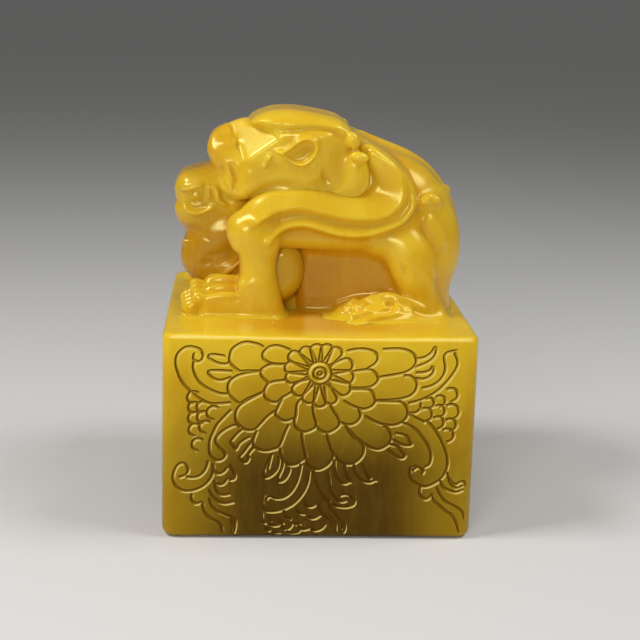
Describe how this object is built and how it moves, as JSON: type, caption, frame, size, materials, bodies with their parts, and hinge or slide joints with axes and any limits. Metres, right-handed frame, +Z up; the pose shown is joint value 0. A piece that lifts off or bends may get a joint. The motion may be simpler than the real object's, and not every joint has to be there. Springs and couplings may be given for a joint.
{
  "type": "seal stamp",
  "caption": "Square block of polished yellow stone for printing a seal, with a carved knob of a beast standing over her cub.",
  "frame": {"origin": "middle of the printing face, the flat underside of the block", "axes": "+Z up from the printing face through the knob; -Y is the near face with the beasts in side view; both beasts look towards -X"},
  "size_m": [0.06, 0.06, 0.0808],
  "materials": {
    "block_stone": "polished",
    "mother_stone": "polished",
    "cub_stone": "polished"
  },
  "bodies": {
    "root": {"seal_block": "block_stone", "mother_body": "mother_stone", "mother_head": "mother_stone", "mother_crest": "mother_stone", "mother_foreleg_near": "mother_stone", "mother_foreleg_far": "mother_stone", "mother_hindleg_near": "mother_stone", "mother_hindleg_far": "mother_stone", "mother_flame_near": "mother_stone", "mother_flame_far": "mother_stone", "mother_curl_near": "mother_stone", "mother_curl_far": "mother_stone", "mother_ear_near": "mother_stone", "mother_ear_far": "mother_stone", "mother_tail": "mother_stone", "cub_body": "cub_stone", "cub_head": "cub_stone", "cub_ear_near": "cub_stone", "cub_ear_far": "cub_stone", "cub_foreleg_near": "cub_stone", "cub_foreleg_far": "cub_stone", "cub_haunch_near": "cub_stone", "cub_haunch_far": "cub_stone"}
  },
  "joints": []
}
